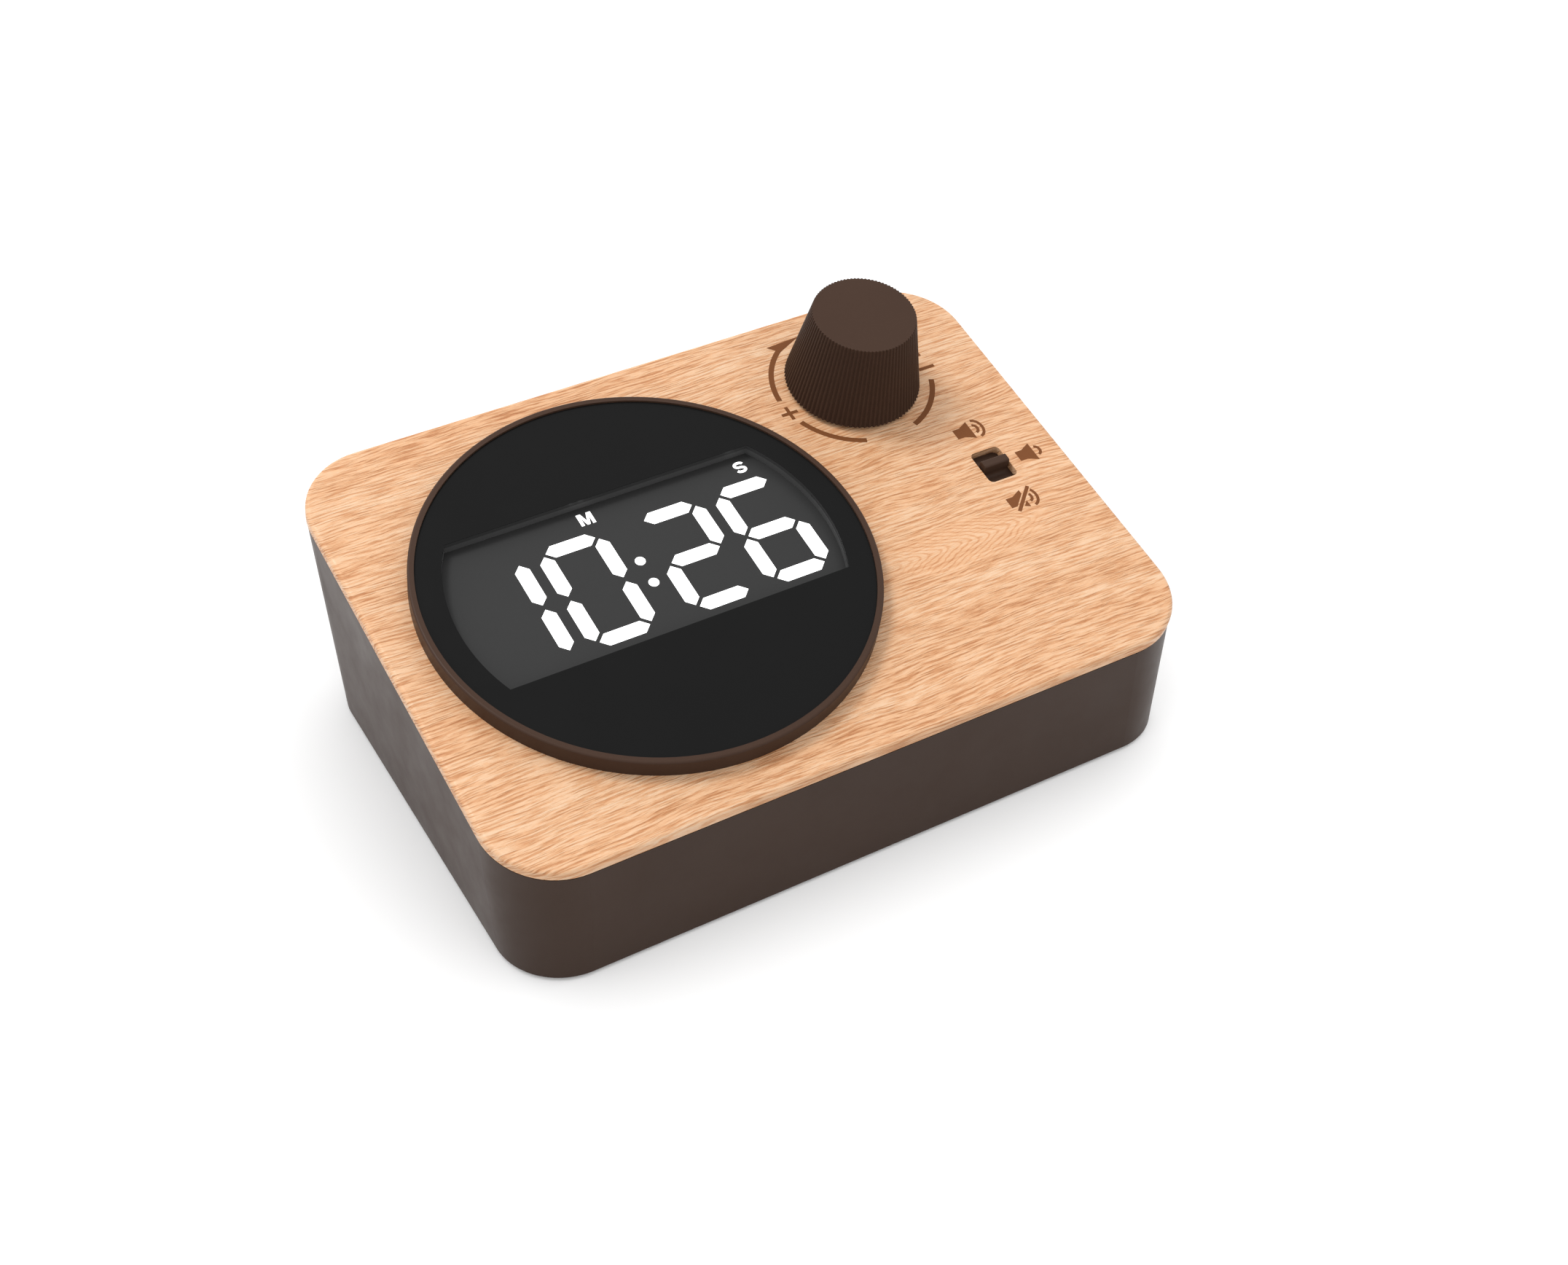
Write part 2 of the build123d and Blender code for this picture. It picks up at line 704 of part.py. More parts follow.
with BuildPart() as knob:
    with BuildSketch(panel_plane(knob_x, knob_y, knob_low)):
        Circle(knob_low_r)
    with BuildSketch(panel_plane(knob_x, knob_y, knob_top)):
        Circle(knob_top_r)
    loft()
    crown = knob.faces().sort_by(Axis(top.origin, top.z_dir))[-1]
    fillet(crown.edges(), 0.25)
    with BuildSketch(panel_plane(knob_x, knob_y, knob_low)):
        Circle(knob_low_r - knob_wall)
    with BuildSketch(panel_plane(knob_x, knob_y, knob_ceiling)):
        Circle(knob_top_r - knob_wall + 0.6)
    loft(mode=Mode.SUBTRACT)
    with BuildSketch(panel_plane(knob_x, knob_y, knob_hub_low)):
        Circle(knob_hub_r)
    extrude(amount=knob_ceiling - knob_hub_low + 0.7)
    with BuildSketch(panel_plane(knob_x, knob_y, knob_hub_low)):
        Circle(shaft_r + 0.03)
        with Locations((0, key_y - 0.03)):
            Rectangle(3 * shaft_r, key_depth, mode=Mode.SUBTRACT)
    extrude(amount=shaft_top - knob_hub_low + 0.03, mode=Mode.SUBTRACT)
finish(knob, "knob")

# ---------------- volume slide switch ----------------
lever_foot = lever_half + lever_foot_r + 0.1
with BuildPart() as volume_slider:
    with BuildSketch(panel_plane(switch_x, switch_y, slide_top - slide_t)):
        RectangleRounded(slide_plate_x, slide_plate_y, 0.8)
    extrude(amount=slide_t)
    with BuildSketch(side_plane(switch_x - lever_x / 2, switch_y, 0)) as lever_side:
        Polygon(
            (-lever_foot, slide_top - 0.3), (-lever_foot, slide_top), (-lever_half, slide_top),
            (-lever_half, lever_top), (lever_half, lever_top), (lever_half, slide_top),
            (lever_foot, slide_top), (lever_foot, slide_top - 0.3), align=None,
        )
        tips = lever_side.vertices().group_by(Axis.Y)[-1]
        fillet(tips, lever_edge_r)
        feet = lever_side.vertices().filter_by_position(Axis.Y, slide_top - 0.1, slide_top + 0.1)
        fillet(feet.filter_by_position(Axis.X, -1.0, 1.0), lever_foot_r)
    extrude(amount=lever_x)
    with BuildSketch(panel_plane(switch_x, switch_y, slide_top - slide_t)):
        Rectangle(stem_w, stem_w)
    extrude(amount=-stem_l)
    with BuildSketch(panel_plane(switch_x, switch_y, slide_top - slide_t - stem_l)):
        Rectangle(fork_w, fork_w)
    extrude(amount=fork_depth, mode=Mode.SUBTRACT)
finish(volume_slider, "volume_slider")

with BuildPart() as switch_housing:
    with BuildSketch(panel_plane(switch_x, switch_y, control_board_top)):
        Rectangle(5.4, 12.4)
    extrude(amount=4.5)
    with BuildSketch(panel_plane(switch_x, switch_y, control_board_top + 0.6)):
        Rectangle(4.0, 8.6)
    extrude(amount=3.2, mode=Mode.SUBTRACT)
    with BuildSketch(panel_plane(switch_x, switch_y, control_board_top + 3)):
        Rectangle(1.9, 5.9)
    extrude(amount=3, mode=Mode.SUBTRACT)
finish(switch_housing, "switch_housing")

with BuildPart() as switch_actuator:
    with BuildSketch(panel_plane(switch_x, switch_y, control_board_top + 0.8)):
        Rectangle(3.7, 4.2)
    extrude(amount=2.8)
    with BuildSketch(panel_plane(switch_x, switch_y, control_board_top + 3)):
        Rectangle(1.5, 1.5)
    extrude(amount=3.8)
finish(switch_actuator, "switch_actuator")

# ---------------- speaker ----------------
speaker_section = Plane((speaker_x, speaker_y, floor_top), x_dir=(1, 0, 0), z_dir=(0, -1, 0))
speaker_axis = Axis((speaker_x, speaker_y, 0), (0, 0, 1))
with BuildPart() as speaker_frame:
    with BuildSketch(speaker_section):
        Polygon((11.8, 0), (14, 0), (14, 1.4), (12.8, 1.4), (8.4, 5.2), (4, 5.2), (4, 4.3), (8, 4.3),
                (11.8, 1.0), align=None)
    revolve(axis=speaker_axis)
finish(speaker_frame, "speaker_frame")

with BuildPart() as speaker_cone:
    with BuildSketch(speaker_section):
        Polygon((11.8, 0.4), (11.8, 0.8), (3.6, 3.9), (0, 3.9), (0, 3.5), (3.5, 3.5), align=None)
    revolve(axis=speaker_axis)
finish(speaker_cone, "speaker_cone")

with BuildPart() as speaker_magnet:
    with BuildSketch(Plane((speaker_x, speaker_y, floor_top + 5.2))):
        Circle(7.5)
    extrude(amount=3.0)
finish(speaker_magnet, "speaker_magnet")
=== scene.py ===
import json
from math import atan2, cos, pi, radians, sin

import bpy
from mathutils import Matrix, Vector


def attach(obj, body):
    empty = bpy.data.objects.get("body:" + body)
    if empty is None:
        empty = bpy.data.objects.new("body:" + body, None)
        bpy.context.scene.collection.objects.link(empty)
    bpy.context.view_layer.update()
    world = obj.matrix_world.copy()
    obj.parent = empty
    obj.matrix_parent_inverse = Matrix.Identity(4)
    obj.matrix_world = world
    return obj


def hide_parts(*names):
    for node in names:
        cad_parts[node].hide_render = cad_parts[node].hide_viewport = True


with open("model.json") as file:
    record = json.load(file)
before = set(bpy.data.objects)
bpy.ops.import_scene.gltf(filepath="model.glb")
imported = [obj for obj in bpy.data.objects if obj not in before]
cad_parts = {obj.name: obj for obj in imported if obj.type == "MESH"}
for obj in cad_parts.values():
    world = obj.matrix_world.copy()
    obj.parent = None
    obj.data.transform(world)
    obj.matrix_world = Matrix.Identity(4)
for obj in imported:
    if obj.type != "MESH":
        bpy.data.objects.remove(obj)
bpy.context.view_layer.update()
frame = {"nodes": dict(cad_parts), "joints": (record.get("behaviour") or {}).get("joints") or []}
nodes = frame["nodes"]
joints = {joint["name"]: joint for joint in frame["joints"]}
scene = bpy.context.scene
scene.view_settings.view_transform = "Standard"

# ---- the wood panel's own frame: x right, y up its slope, height above its face, in mm ----
MM = 0.001
KNOB = (34.6, 25.1)
normal = Vector(joints["knob_turn"]["axis"]).normalized()
up = Vector(joints["volume_slide"]["axis"]).normalized()
right = up.cross(normal)
tilt = atan2(up.z, up.y)
origin = Vector(joints["knob_turn"]["pos_m"]) - (right * KNOB[0] + up * KNOB[1]) * MM
ARCS = (34.76, 25.19)
INK_TOP = 0.03
FACE_TOP = 0.81
LENS_TOP = 2.76


def panel(x, y, height=0.0):
    """Point in the row frame from panel coordinates."""
    return origin + (right * x + up * y + normal * height) * MM


# ---------------- material helpers ----------------
class Shade:
    """A Principled material with short ways to add nodes."""

    def __init__(self, name):
        self.material = bpy.data.materials.new(name)
        self.material.use_nodes = True
        self.tree = self.material.node_tree
        self.shader = self.tree.nodes["Principled BSDF"]
        self.place = None

    def feed(self, socket, value):
        """Link a socket, or set its plain value."""
        if isinstance(value, bpy.types.NodeSocket):
            self.tree.links.new(value, socket)
        else:
            socket.default_value = value

    def node(self, kind, inputs, **settings):
        """Add a node and return its first output."""
        made = self.tree.nodes.new(kind)
        for key, value in settings.items():
            setattr(made, key, value)
        for key, value in inputs.items():
            self.feed(made.inputs[key], value)
        return made.outputs[0]

    def math(self, operation, a, b=0.0, c=0.0, clamp=False):
        """One arithmetic step."""
        return self.node("ShaderNodeMath", {0: a, 1: b, 2: c}, operation=operation, use_clamp=clamp)

    def coords(self):
        """Panel coordinates in mm."""
        if self.place is None:
            made = self.tree.nodes.new("ShaderNodeTexCoord")
            self.place = self.node(
                "ShaderNodeMapping",
                {0: made.outputs["Object"], 1: origin, 2: (tilt, 0, 0), 3: (MM, MM, MM)},
                vector_type="TEXTURE",
            )
        return self.place

    def stretched(self, vector, scales):
        """The same vector scaled along each axis."""
        return self.node("ShaderNodeVectorMath", {0: vector, 1: scales}, operation="MULTIPLY")

    def noise(self, vector, scale, detail=2.0, roughness=0.5):
        """Noise from 0 to 1, about 0.5."""
        inputs = {"Vector": vector, "Scale": scale, "Detail": detail, "Roughness": roughness}
        return self.node("ShaderNodeTexNoise", inputs)

    def spread(self, value, low, high, out_low=0.0, out_high=1.0, smooth=False):
        """Map a range onto another, held at its ends."""
        kind = "SMOOTHSTEP" if smooth else "LINEAR"
        inputs = {0: value, 1: low, 2: high, 3: out_low, 4: out_high}
        return self.node("ShaderNodeMapRange", inputs, interpolation_type=kind)

    def ramp(self, value, stops):
        """Colour ramp from (place, linear colour) stops."""
        made = self.tree.nodes.new("ShaderNodeValToRGB")
        elements = made.color_ramp.elements
        while len(elements) < len(stops):
            elements.new(0.5)
        for element, (place, colour) in zip(elements, stops):
            element.position = place
            element.color = (*colour, 1.0)
        self.feed(made.inputs[0], value)
        return made.outputs[0]

    def bump(self, height, distance_mm, strength=1.0):
        """Bump from a height field, its full range distance_mm deep."""
        inputs = {"Strength": strength, "Distance": distance_mm * MM, "Height": height}
        self.feed(self.shader.inputs["Normal"], self.node("ShaderNodeBump", inputs))

    def set(self, **values):
        """Set plain numbers on the shader's own sockets."""
        for key, value in values.items():
            self.shader.inputs[key.replace("_", " ")].default_value = value


def linear(red, green, blue, gain=1.0):
    """Linear colour from display values of 0 to 255."""
    return tuple(gain * ((v / 255 + 0.055) / 1.055) ** 2.4 for v in (red, green, blue))


def moulded(name, colour, roughness, grain_mm=0.25, depth_mm=0.012, specular=0.2, vary=0.12):
    """Moulded plastic: fine spark-eroded grain, a little mottling, faint rubbed spots."""
    shade = Shade(name)
    place = shade.coords()
    cloud = shade.noise(place, 0.06, 3.0)
    speck = shade.noise(place, 2.2, 2.0)
    tone = shade.math("ADD", shade.math("MULTIPLY", cloud, 0.6), shade.math("MULTIPLY", speck, 0.4))
    darker = tuple(v * (1 - vary) for v in colour)
    lighter = tuple(v * (1 + vary) for v in colour)
    shade.feed(shade.shader.inputs["Base Color"], shade.ramp(tone, [(0.3, darker), (0.7, lighter)]))
    rubbed = shade.spread(shade.noise(place, 0.11, 4.0, 0.6), 0.3, 0.75, roughness + 0.05, roughness - 0.06)
    shade.feed(shade.shader.inputs["Roughness"], rubbed)
    shade.bump(shade.noise(place, 1 / grain_mm, 3.0, 0.6), depth_mm)
    shade.set(Specular_IOR_Level=specular)
    return shade


def oak(name):
    """Light oak veneer, grain along x, with a flame figure right of the display."""
    shade = Shade(name)
    place = shade.coords()
    split = shade.tree.nodes.new("ShaderNodeSeparateXYZ")
    shade.feed(split.inputs[0], place)
    x, y, height = split.outputs
    broad = shade.noise(shade.stretched(place, (0.022, 0.05, 0.2)), 1.0, 2.0)
    wavy = shade.noise(shade.stretched(place, (0.09, 0.22, 0.3)), 1.0, 2.0)
    fine_wave = shade.noise(shade.stretched(place, (0.45, 0.5, 0.5)), 1.0, 1.0)
    moved = shade.math("MULTIPLY_ADD", broad, 4.0, y)
    moved = shade.math("MULTIPLY_ADD", wavy, 0.6, moved)
    moved = shade.math("MULTIPLY_ADD", fine_wave, 0.18, moved)
    across = shade.math("MULTIPLY_ADD", height, 0.8, moved)
    grain = shade.node("ShaderNodeCombineXYZ", {0: x, 1: across, 2: height})
    bands = shade.noise(shade.stretched(grain, (0.012, 0.2, 0.02)), 1.0, 3.0, 0.6)
    streaks = shade.noise(shade.stretched(grain, (0.08, 1.3, 0.1)), 1.0, 2.0, 0.6)
    pores = shade.noise(shade.stretched(grain, (0.16, 2.9, 0.5)), 1.0, 2.0, 0.6)
    fibres = shade.noise(shade.stretched(grain, (1.1, 6.5, 1.5)), 1.0, 2.0, 0.6)
    # flame figure: nested arches about one line of the grain, their tips to the right
    off_line = shade.math("SUBTRACT", shade.math("MULTIPLY_ADD", wavy, 1.2, y), -12.9)
    squared = shade.math("MULTIPLY_ADD", off_line, off_line, 0.25)
    arch = shade.math("MULTIPLY_ADD", shade.math("SQRT", squared), 2.6, x)
    arch = shade.math("MULTIPLY_ADD", fine_wave, 2.2, arch)
    rings = shade.math("SINE", shade.math("MULTIPLY", arch, 2 * pi / 1.9))
    mid_x = shade.math("MULTIPLY", shade.math("SUBTRACT", x, 34.0), 1 / 17.0)
    mid_y = shade.math("MULTIPLY", off_line, 1 / 5.5)
    inside = shade.math("MULTIPLY_ADD", mid_x, mid_x, shade.math("MULTIPLY", mid_y, mid_y))
    figure = shade.spread(inside, 1.0, 0.2, smooth=True)
    rings = shade.math("MULTIPLY", shade.spread(rings, 0.1, 1.0), figure)
    dashes = shade.spread(pores, 0.44, 0.66)
    dashes = shade.math("MULTIPLY", dashes, shade.math("MULTIPLY_ADD", figure, -0.6, 1.0))
    tone = shade.math("MULTIPLY_ADD", bands, 0.6, 0.06)
    tone = shade.math("MULTIPLY_ADD", streaks, 0.3, tone)
    tone = shade.math("MULTIPLY_ADD", fibres, 0.4, tone)
    tone = shade.math("MULTIPLY_ADD", dashes, -0.52, tone)
    tone = shade.math("MULTIPLY_ADD", rings, -0.28, tone)
    tone = shade.math("ADD", tone, 0.0, clamp=True)  # held between 0 and 1
    colour = shade.ramp(tone, [
        (0.0, linear(190, 120, 70, WOOD_GAIN)),
        (0.3, linear(226, 162, 112, WOOD_GAIN)),
        (0.6, linear(249, 194, 147, WOOD_GAIN)),
        (0.9, linear(255, 218, 182, WOOD_GAIN)),
    ])
    shade.feed(shade.shader.inputs["Base Color"], colour)
    shade.feed(shade.shader.inputs["Roughness"], shade.spread(tone, 0.2, 0.8, 0.5, 0.34))
    shade.bump(shade.math("MULTIPLY_ADD", dashes, -0.7, shade.math("MULTIPLY", fibres, 0.6)), 0.12)
    shade.set(Specular_IOR_Level=0.25)
    return shade


WOOD_GAIN = 0.545
BROWN = (0.026, 0.0113, 0.0052)
TRIM = (0.038, 0.0205, 0.0135)

oak_top = oak("oak_top")
case_brown = moulded("case_brown", BROWN, 0.42, 0.25, 0.006, 0.2, 0.05)
trim_brown = moulded("trim_brown", TRIM, 0.4, 0.2, 0.004, 0.08, 0.06)
knob_brown = moulded("knob_brown", TRIM, 0.42, 0.2, 0.001, 0.06, 0.05)
SMOKE = (0.03, 0.03, 0.03)
JET = (0.0052, 0.0052, 0.0052)
ink = moulded("print_brown", linear(132, 81, 47, 0.56), 0.6, 0.3, 0.01, 0.06, 0.05)
lens_black = moulded("lens_black", JET, 0.3, 0.4, 0.001, 0.05)
# the lens is black on top and smoky at its cut edge, below its face
lens_height = lens_black.node("ShaderNodeSeparateXYZ", {0: lens_black.coords()}).node.outputs[2]
near_top = lens_black.spread(lens_height, LENS_TOP - 0.1, LENS_TOP - 0.04)
lens_black.feed(lens_black.shader.inputs["Base Color"], lens_black.ramp(near_top, [(0.0, SMOKE), (1.0, JET)]))
face_grey = moulded("face_grey", (0.022, 0.022, 0.022), 0.42, 0.4, 0.001, 0.1, 0.03)
spacer_grey = moulded("spacer_grey", (0.05, 0.05, 0.05), 0.5, 0.4, 0.001, 0.1, 0.03)
rubber = moulded("rubber", (0.018, 0.018, 0.018), 0.8, 0.3, 0.03)
inner_black = moulded("inner_black", (0.03, 0.03, 0.03), 0.55)
white_plastic = moulded("white_plastic", (0.72, 0.72, 0.69), 0.4, 0.3, 0.006, 0.4, 0.03)
chip = moulded("chip", (0.015, 0.015, 0.016), 0.45, 0.12, 0.01, 0.4)
red_sleeve = moulded("red_sleeve", (0.45, 0.03, 0.02), 0.45, 0.4, 0.006, 0.4)
paper = moulded("paper", (0.03, 0.03, 0.032), 0.9, 0.15, 0.04)
jacket = moulded("jacket", (0.04, 0.17, 0.38), 0.3, 0.6, 0.004, 0.5, 0.05)

# lit digits: white light through frosted pipes, a touch uneven
digit_white = Shade("digit_white")
glow = digit_white.spread(digit_white.noise(digit_white.coords(), 0.5, 2.0), 0.3, 0.7, 1.15, 1.3)
digit_white.feed(digit_white.shader.inputs["Emission Strength"], glow)
digit_white.set(Base_Color=(0.8, 0.8, 0.8, 1), Emission_Color=(1, 1, 1, 1), Roughness=0.5)
digit_white.bump(digit_white.noise(digit_white.coords(), 4.0), 0.003)

steel = Shade("steel")
drawn = steel.noise(steel.stretched(steel.coords(), (0.4, 6.0, 6.0)), 1.0, 3.0)
metal = steel.ramp(drawn, [(0.3, (0.42, 0.42, 0.43)), (0.7, (0.62, 0.62, 0.61))])
steel.feed(steel.shader.inputs["Base Color"], metal)
steel.feed(steel.shader.inputs["Roughness"], steel.spread(drawn, 0.3, 0.7, 0.28, 0.42))
steel.bump(drawn, 0.004)
steel.set(Metallic=1.0)

board = Shade("board")
tracks = board.noise(board.stretched(board.coords(), (0.5, 0.5, 0.1)), 1.0, 1.0)
lines = board.spread(board.math("FRACT", board.math("MULTIPLY", tracks, 14.0)), 0.42, 0.5)
green = board.ramp(lines, [(0.2, (0.012, 0.11, 0.045)), (0.8, (0.02, 0.17, 0.07))])
board.feed(board.shader.inputs["Base Color"], green)
board.feed(board.shader.inputs["Roughness"], board.spread(lines, 0, 1, 0.3, 0.4))
board.bump(lines, 0.03)

finishes = {
    oak_top: ["wood_panel"],
    case_brown: ["case_tub", "battery_door"],
    trim_brown: ["bezel_ring", "volume_slider"],
    knob_brown: ["knob"],
    lens_black: ["dial_disc"],
    face_grey: ["display_face", "unlit_segments"],
    spacer_grey: ["display_spacer"],
    digit_white: ["lit_segments"],
    rubber: ["foot_pads"],
    inner_black: ["deck_plate"],
    white_plastic: ["reflector_block", "unit_light_pipes", "display_leds", "board_connectors",
                    "display_ribbon", "encoder_rotor"],
    chip: ["controller_chip", "encoder_housing", "switch_actuator"],
    red_sleeve: ["battery_leads", "speaker_leads"],
    paper: ["speaker_cone"],
    jacket: ["battery_cell_1", "battery_cell_2", "battery_cell_3"],
    board: ["display_board", "control_board"],
    steel: ["case_screws", "display_screws", "board_screws", "contact_plates", "contact_springs",
            "encoder_dome", "encoder_shaft", "switch_housing", "speaker_frame", "speaker_magnet"],
}
for shade, names in finishes.items():
    for name in names:
        nodes[name].data.materials.clear()
        nodes[name].data.materials.append(shade.material)


# ---------------- mesh helpers ----------------
def piece(name, points, faces, shade, body, smooth=False):
    """New mesh piece in the row frame, riding a body."""
    mesh = bpy.data.meshes.new(name)
    mesh.from_pydata(points, [], faces)
    mesh.materials.append(shade.material)
    mesh.polygons.foreach_set("use_smooth", [smooth] * len(mesh.polygons))
    made = bpy.data.objects.new(name, mesh)
    scene.collection.objects.link(made)
    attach(made, body)
    return made


def plate(name, loops, low, high, shade):
    """Thin flat piece on the panel from closed outlines; an outline inside another is a hole."""
    curve = bpy.data.curves.new(name, "CURVE")
    curve.dimensions = "2D"
    curve.fill_mode = "BOTH"
    curve.extrude = (high - low) / 2
    for loop in loops:
        spline = curve.splines.new("POLY")
        spline.points.add(len(loop) - 1)
        for point, (x, y) in zip(spline.points, loop):
            point.co = (x, y, 0, 1)
        spline.use_cyclic_u = True
    flat = bpy.data.objects.new(name, curve)
    mesh = bpy.data.meshes.new_from_object(flat)
    points = [panel(v.co.x, v.co.y, (low + high) / 2 + v.co.z) for v in mesh.vertices]
    faces = [tuple(face.vertices) for face in mesh.polygons]
    bpy.data.objects.remove(flat)
    bpy.data.curves.remove(curve)
    bpy.data.meshes.remove(mesh)
    return piece(name, points, faces, shade, "root")


def polar(centre, radius, degrees):
    """Point on a circle."""
    return (centre[0] + radius * cos(radians(degrees)), centre[1] + radius * sin(radians(degrees)))


def arc_band(centre, radius, width, start, end, steps=40):
    """Outline of a band along an arc, with square ends."""
    angles = [start + (end - start) * i / steps for i in range(steps + 1)]
    outer = [polar(centre, radius + width / 2, a) for a in angles]
    inner = [polar(centre, radius - width / 2, a) for a in reversed(angles)]
    return outer + inner


def stroke(path, width):
    """Outline of a line of even width along a path."""
    left, rest = [], []
    for i, (x, y) in enumerate(path):
        before = Vector(path[max(i - 1, 0)])
        after = Vector(path[min(i + 1, len(path) - 1)])
        along = (after - before).normalized()
        side = Vector((-along.y, along.x)) * width / 2
        left.append((x + side.x, y + side.y))
        rest.append((x - side.x, y - side.y))
    return left + rest[::-1]


# ---------------- printed marks ----------------
BAND_R = 13.84              # printed arcs: middle radius and width
BAND_W = 0.92
SIGN_L = 3.0                # plus and minus: length and stroke
SIGN_W = 0.6
PLUS_AT = (21.1, 22.65)
MINUS_AT = (48.4, 22.9)
INK_LOW = -0.01             # prints start just under the wood's face


def printed(name, loop):
    """One brown printed mark on the wood."""
    plate(name, [loop], INK_LOW, INK_TOP, ink)


def shifted(loop, centre):
    """An outline moved to a centre."""
    return [(centre[0] + x, centre[1] + y) for x, y in loop]


def arrow_side(flip):
    """Upper arc with its arrowhead, on the left, or mirrored onto the right."""
    band = arc_band(ARCS, BAND_R, BAND_W, 177.5, 127.0)
    head = [polar(ARCS, BAND_R + 2.05, 127.8), polar(ARCS, BAND_R - 0.42, 126.8)]
    loops = [band, head + [polar(ARCS, BAND_R - 0.5, 104.0)]]
    if flip:
        loops = [[(2 * ARCS[0] - x, y) for x, y in loop] for loop in loops]
    return loops


for side, flip in (("left", False), ("right", True)):
    for part, loop in zip(("arc", "arrow"), arrow_side(flip)):
        printed(f"print_{part}_{side}", loop)
printed("print_arc_lower_left", arc_band(ARCS, BAND_R, BAND_W, 201.5, 250.0))
printed("print_arc_lower_right", arc_band(ARCS, BAND_R, BAND_W, 290.0, 338.6))
half, thin = SIGN_L / 2, SIGN_W / 2
plus = [(-half, -thin), (-thin, -thin), (-thin, -half), (thin, -half), (thin, -thin), (half, -thin),
        (half, thin), (thin, thin), (thin, half), (-thin, half), (-thin, thin), (-half, thin)]
minus = [(-half, -thin), (half, -thin), (half, thin), (-half, thin)]
printed("print_plus", shifted(plus, PLUS_AT))
printed("print_minus", shifted(minus, MINUS_AT))


def speaker_body(x, y):
    """Outline of a loudspeaker seen from the side, its middle height y."""
    neck, horn, magnet_half, horn_half = 1.35, 3.15, 1.04, 1.92
    lower = [(x, y - magnet_half), (x + neck, y - magnet_half), (x + horn, y - horn_half)]
    return lower + [(px, 2 * y - py) for px, py in reversed(lower)]


def wave(x, y, reach, rise):
    """Curved line standing for sound: from its top over its rightmost point to its bottom."""
    angles = [radians(80 - 8 * i) for i in range(21)]
    return [(x + reach * cos(a) ** 0.9, y + rise * sin(a)) for a in angles]


def clipped(loop, point, direction):
    """The part of an outline on the left of a directed line."""
    kept = []
    offsets = [(x - point[0]) * -direction[1] + (y - point[1]) * direction[0] for x, y in loop]
    for i, (a, b) in enumerate(zip(loop, loop[1:] + loop[:1])):
        at_a, at_b = offsets[i], offsets[(i + 1) % len(loop)]
        if at_a >= 0:
            kept.append(a)
        if (at_a >= 0) != (at_b >= 0):
            t = at_a / (at_a - at_b)
            kept.append((a[0] + (b[0] - a[0]) * t, a[1] + (b[1] - a[1]) * t))
    return kept


WAVE_W = 0.5
SLASH_W = 0.62
SLASH_CLEAR = 0.56          # from the slash's middle line to the parted icon
LOUD = (44.5, 7.23)
LOW = (51.72, -1.17)
MUTE = (44.5, -9.5)
icons = {
    "print_loud_body": speaker_body(*LOUD),
    "print_loud_wave_1": stroke(wave(LOUD[0] + 3.6, LOUD[1], 0.8, 0.85), WAVE_W),
    "print_loud_wave_2": stroke(wave(LOUD[0] + 3.75, LOUD[1], 1.6, 1.88), WAVE_W),
    "print_low_body": speaker_body(*LOW),
    "print_low_wave": stroke(wave(LOW[0] + 3.52, LOW[1], 0.85, 0.9), WAVE_W),
}
# the mute icon is the loud one, parted by a slash with clear margins
slash_a, slash_b = Vector((45.3, -11.55)), Vector((49.5, -7.4))
along = (slash_b - slash_a).normalized()
side = Vector((-along.y, along.x))
icons["print_mute_slash"] = stroke([tuple(slash_a), tuple(slash_b)], SLASH_W)
for name, loop in (
    ("body", speaker_body(*MUTE)),
    ("wave_1", stroke(wave(MUTE[0] + 3.6, MUTE[1], 0.8, 0.85), WAVE_W)),
    ("wave_2", stroke(wave(MUTE[0] + 3.75, MUTE[1], 1.6, 1.88), WAVE_W)),
):
    for part, sign in (("left", 1), ("right", -1)):
        kept = clipped(loop, slash_a + side * sign * SLASH_CLEAR, along * sign)
        if len(kept) > 2:
            icons[f"print_mute_{name}_{part}"] = kept
for name, loop in icons.items():
    printed(name, loop)

# ---------------- unit letters on the display ----------------
LETTER_LOW = 13.4
LETTER_PROUD = 0.03
M_X, S_X = -20.7, 7.08
letter_m = [(-1.25, 0), (-0.72, 0), (-0.72, 1.6), (-0.25, 0), (0.25, 0), (0.72, 1.6), (0.72, 0), (1.25, 0),
            (1.25, 2.4), (0.5, 2.4), (0, 0.8), (-0.5, 2.4), (-1.25, 2.4)]
upper = [polar((0, 1.68), 0.48, a) for a in range(20, 271, 10)]
lower = [polar((0, 0.72), 0.48, a) for a in range(90, -161, -10)]
letter_s = stroke([(x * 1.6, y) for x, y in upper[:-1] + lower], 0.47)
for name, loop, x in (("unit_m", letter_m, M_X), ("unit_s", letter_s, S_X)):
    outline = shifted(loop, (x, LETTER_LOW))
    plate(name, [outline], FACE_TOP, FACE_TOP + LETTER_PROUD, digit_white)

# ---------------- ribbed knob ----------------
RIBS = 90
STEPS = 8
LOW_N, TOP_N = 0.75, 15.55
LOW_R, TOP_R = 11.6, 8.78
RIB_DEPTH = 0.02            # as a share of the radius
TIP_R = 0.14                # rounding of the top edge
WALL_LOW = 1.6              # the wall's thickness at its foot
HOLLOW_R, HOLLOW_TOP = 7.74, 12.8
HUB_R, HUB_LOW = 4.6, 3.0
BORE_R, BORE_TOP = 3.03, 11.03


def rib(step):
    """Rib height from 0 in the groove to 1 on the crest: flat crests and grooves with sloping flanks."""
    return (0.0, 0.0, 0.35, 0.85, 1.0, 1.0, 0.85, 0.35)[step % STEPS]


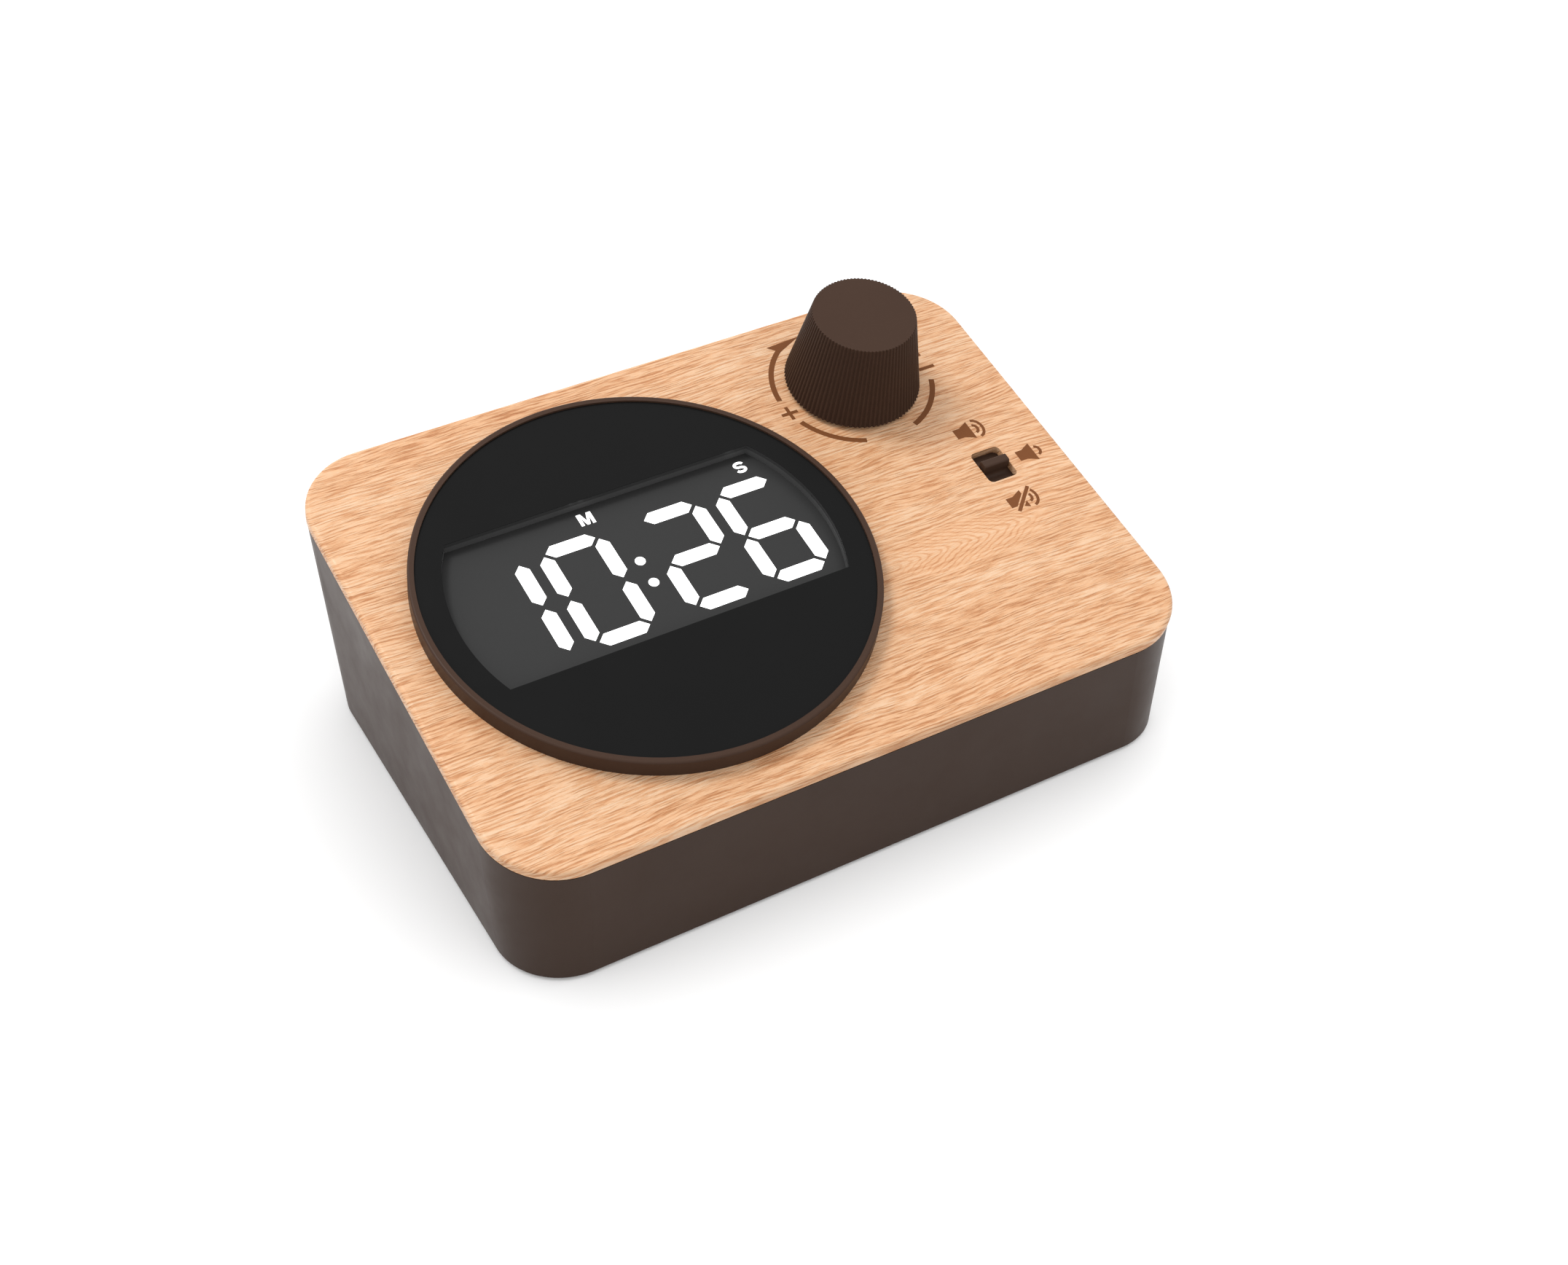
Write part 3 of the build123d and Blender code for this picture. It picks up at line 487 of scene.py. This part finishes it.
turns = RIBS * STEPS
profile = []
for i in range(13):
    t = i / 12
    profile.append((LOW_R + (TOP_R - LOW_R) * t, LOW_N + (TOP_N - 0.12 - LOW_N) * t, 1.0))
profile += [(TOP_R - 0.03, TOP_N - 0.03, 0.9), (TOP_R - TIP_R, TOP_N, 0.75)]
profile += [(TOP_R - 0.5, TOP_N, 0.0), (TOP_R * 0.5, TOP_N, 0.0)]
under = [(BORE_R, BORE_TOP), (BORE_R, HUB_LOW), (HUB_R, HUB_LOW), (HUB_R, HOLLOW_TOP),
         (HOLLOW_R, HOLLOW_TOP), (LOW_R - WALL_LOW, LOW_N), (LOW_R - 0.35, LOW_N)]
rows = [(radius, height, 0.0) for radius, height in under] + profile  # radius, height, rib strength
points = []
for radius, height, ribbed in rows:
    for step in range(turns):
        angle = 2 * pi * step / turns
        r = radius - RIB_DEPTH * radius * ribbed * (1 - rib(step))
        points.append(panel(KNOB[0] + r * cos(angle), KNOB[1] + r * sin(angle), height))
points.append(panel(*KNOB, BORE_TOP))
points.append(panel(*KNOB, TOP_N))
faces = []
for row in range(len(rows) - 1):
    for step in range(turns):
        a, b = row * turns + step, row * turns + (step + 1) % turns
        faces.append((a, b, b + turns, a + turns))
last = (len(rows) - 1) * turns
for step in range(turns):
    after = (step + 1) % turns
    faces.append((after, step, len(points) - 2))
    faces.append((last + step, last + after, len(points) - 1))
ribbed_knob = piece("ribbed_knob", points, faces, knob_brown, "knob")
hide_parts("knob")

# ---------------- floor, light and camera ----------------
FLOOR_R = 4.0
ROOM_LIGHT = 1.38
KEY_SIDE = (-0.30, 0.52, 0.80)       # towards the key light, in panel components
KEY_SIZE = 0.3
KEY_POWER = 6.8
CAMERA_AT = (-130.7, -184.63, 260.41)
CAMERA_LOOK = (0.3824, 0.4986, -0.7779)
CAMERA_UP = (0.3216, 0.7174, 0.6179)
floor_shade = Shade("floor_white")
floor_shade.set(Base_Color=(0.98, 0.98, 0.98, 1), Roughness=0.9, Specular_IOR_Level=0.0)
ring = [(FLOOR_R * cos(2 * pi * i / 96), FLOOR_R * sin(2 * pi * i / 96), 0.0) for i in range(96)]
floor_mesh = bpy.data.meshes.new("floor")
floor_mesh.from_pydata(ring, [], [tuple(range(96))])
floor_mesh.materials.append(floor_shade.material)
floor = bpy.data.objects.new("floor", floor_mesh)
scene.collection.objects.link(floor)

world = bpy.data.worlds.new("studio")
world.use_nodes = True
world.node_tree.nodes["Background"].inputs["Color"].default_value = (1, 1, 1, 1)
world.node_tree.nodes["Background"].inputs["Strength"].default_value = ROOM_LIGHT
scene.world = world


def soft_light(name, position, target, size, power):
    """Square area light aimed at a point."""
    data = bpy.data.lights.new(name, "AREA")
    data.size = size
    data.energy = power
    made = bpy.data.objects.new(name, data)
    made.location = position
    made.rotation_mode = "QUATERNION"
    made.rotation_quaternion = (Vector(target) - Vector(position)).to_track_quat("-Z", "Y")
    scene.collection.objects.link(made)
    return made


def turned(x, y, height):
    """Direction in the row frame from panel components."""
    return (right * x + up * y + normal * height).normalized()


middle = panel(0, 0)
key = soft_light("key", middle + turned(*KEY_SIDE), middle, KEY_SIZE, KEY_POWER)
# the floor keeps the even light of the surroundings alone
not_floor = bpy.data.collections.new("key_receivers")
not_floor.objects.link(floor)
not_floor.collection_objects[0].light_linking.link_state = "EXCLUDE"
key.light_linking.receiver_collection = not_floor

camera_data = bpy.data.cameras.new("camera")
camera_data.lens = 50
camera_data.sensor_width = 36
camera = bpy.data.objects.new("camera", camera_data)
scene.collection.objects.link(camera)
look = turned(*CAMERA_LOOK)
image_up = turned(*CAMERA_UP)
image_right = look.cross(image_up).normalized()
image_up = image_right.cross(look)
turn = Matrix((image_right, image_up, -look)).transposed()
camera.rotation_mode = "QUATERNION"
camera.rotation_quaternion = turn.to_quaternion()
camera.location = panel(*CAMERA_AT)
camera_data.clip_start = 0.01
camera_data.clip_end = 50
scene.camera = camera
